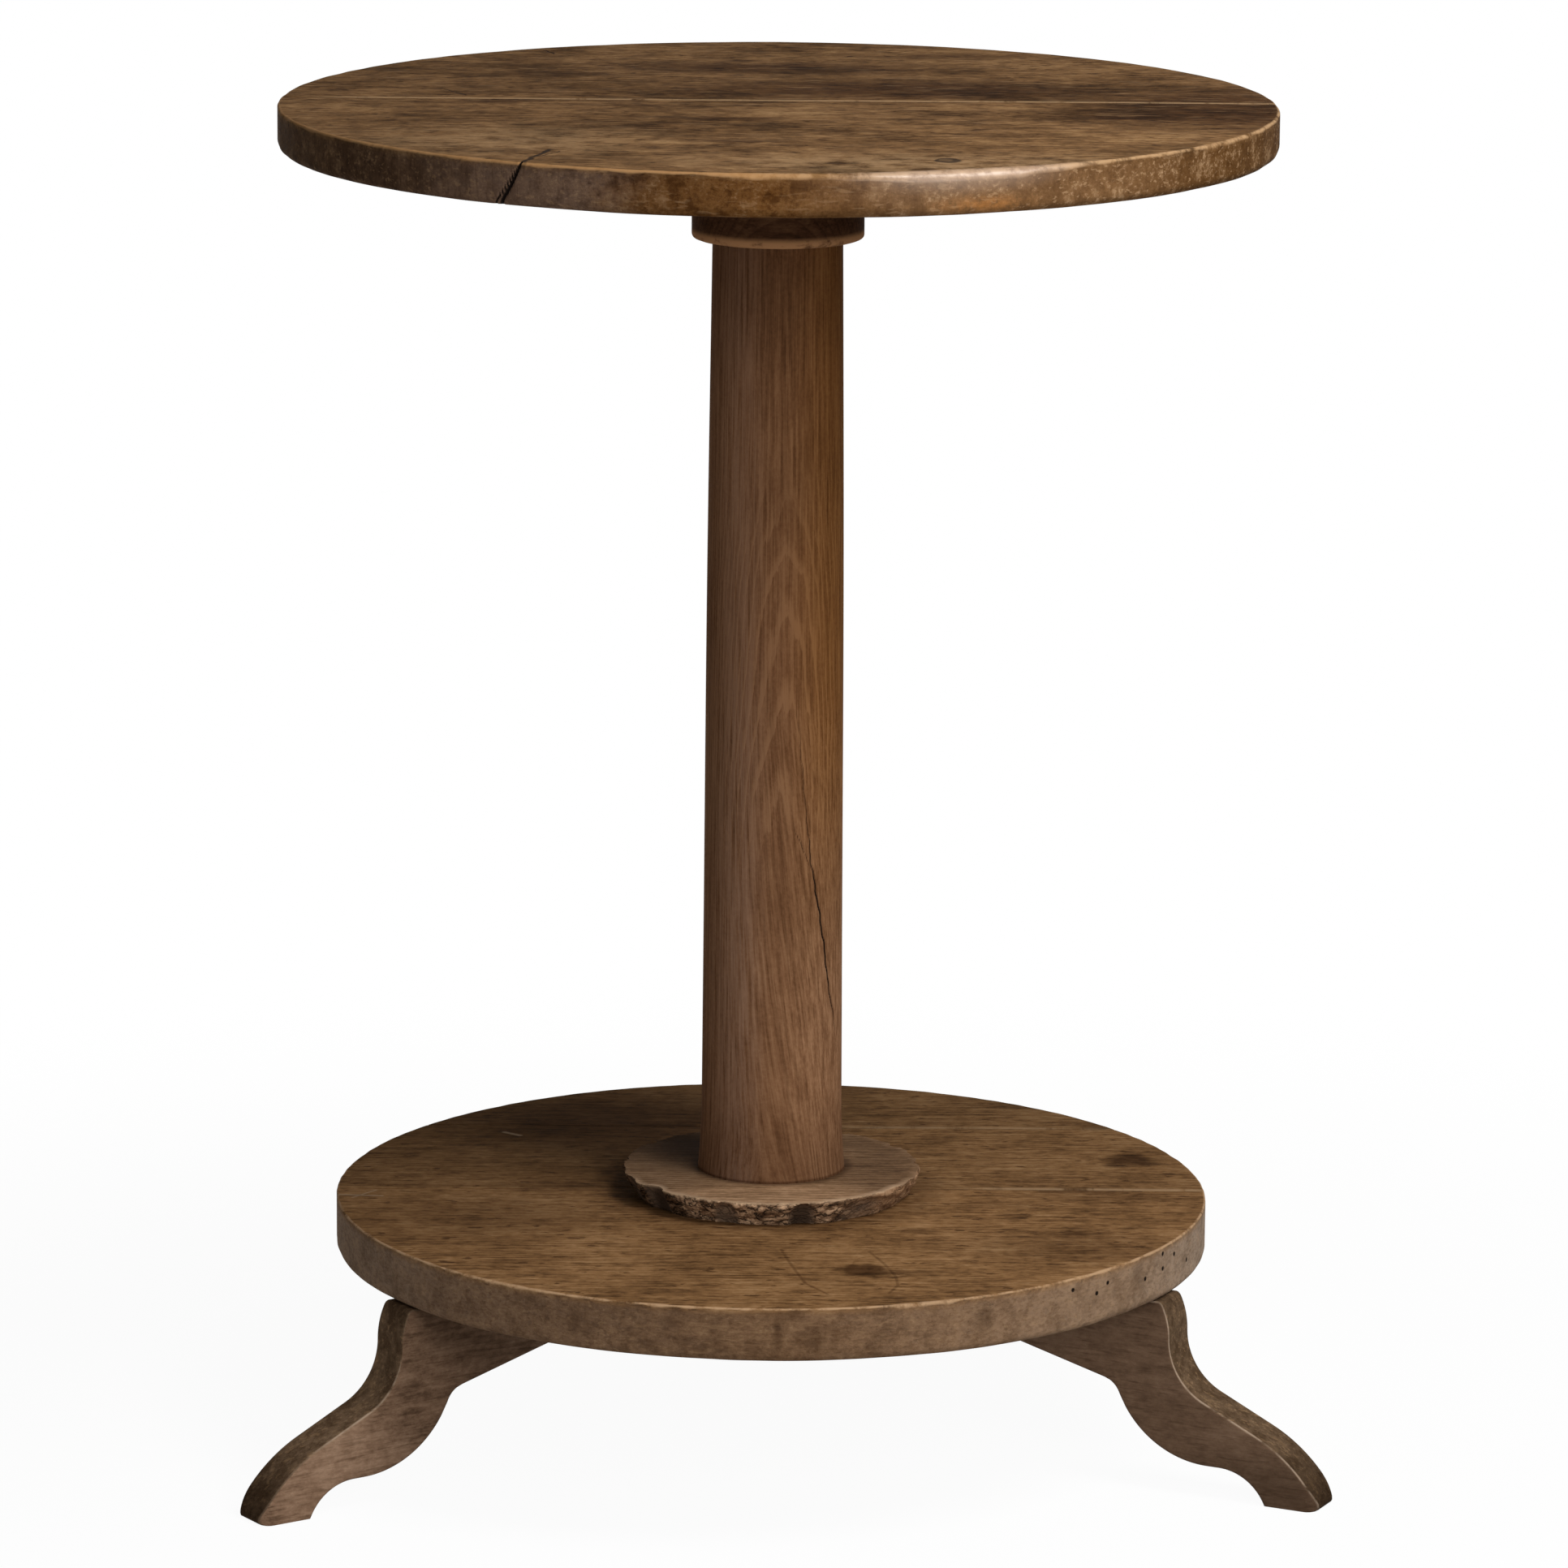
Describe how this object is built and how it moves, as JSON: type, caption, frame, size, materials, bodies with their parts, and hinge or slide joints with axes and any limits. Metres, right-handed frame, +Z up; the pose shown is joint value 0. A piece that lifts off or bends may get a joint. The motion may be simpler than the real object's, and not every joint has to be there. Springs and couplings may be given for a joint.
{
  "type": "wine table",
  "caption": "Rustic round wine table: plank top and round lower shelf on a turned column with sawn S-curved tripod legs, dark waxed hardwood.",
  "frame": {"origin": "middle of the table's own box, at floor level", "axes": "+Z up; the top's board joint runs along X; the two front legs reach towards -Y"},
  "size_m": [0.5886, 0.6007, 0.732],
  "materials": {
    "top_wood": "old waxed hardwood, worn paler along its rim and joint",
    "column_wood": "turned hardwood, waxed, reddish brown",
    "collar_wood": "turned hardwood, very dark",
    "ring_wood": "hardwood, gouge-carved edge, worn and chipped",
    "shelf_wood": "old waxed hardwood boards, stained and worn",
    "leg_wood": "sawn hardwood, greyed, worn pale on its arrises",
    "hidden_wood": "plain unfinished hardwood",
    "iron": "dark old iron"
  },
  "bodies": {
    "root": {"top_board_front": "top_wood", "top_board_back": "top_wood", "top_joint_tongues": "hidden_wood", "top_bearer": "hidden_wood", "bearer_screws": "iron", "collar": "collar_wood", "column": "column_wood", "top_tenon_wedge": "hidden_wood", "bottom_tenon_wedge": "hidden_wood", "foot_ring": "ring_wood", "base_board_front": "shelf_wood", "base_board_middle": "shelf_wood", "base_board_back": "shelf_wood", "base_joint_tongues": "hidden_wood", "leg_left": "leg_wood", "leg_right": "leg_wood", "leg_back": "leg_wood"}
  },
  "joints": []
}
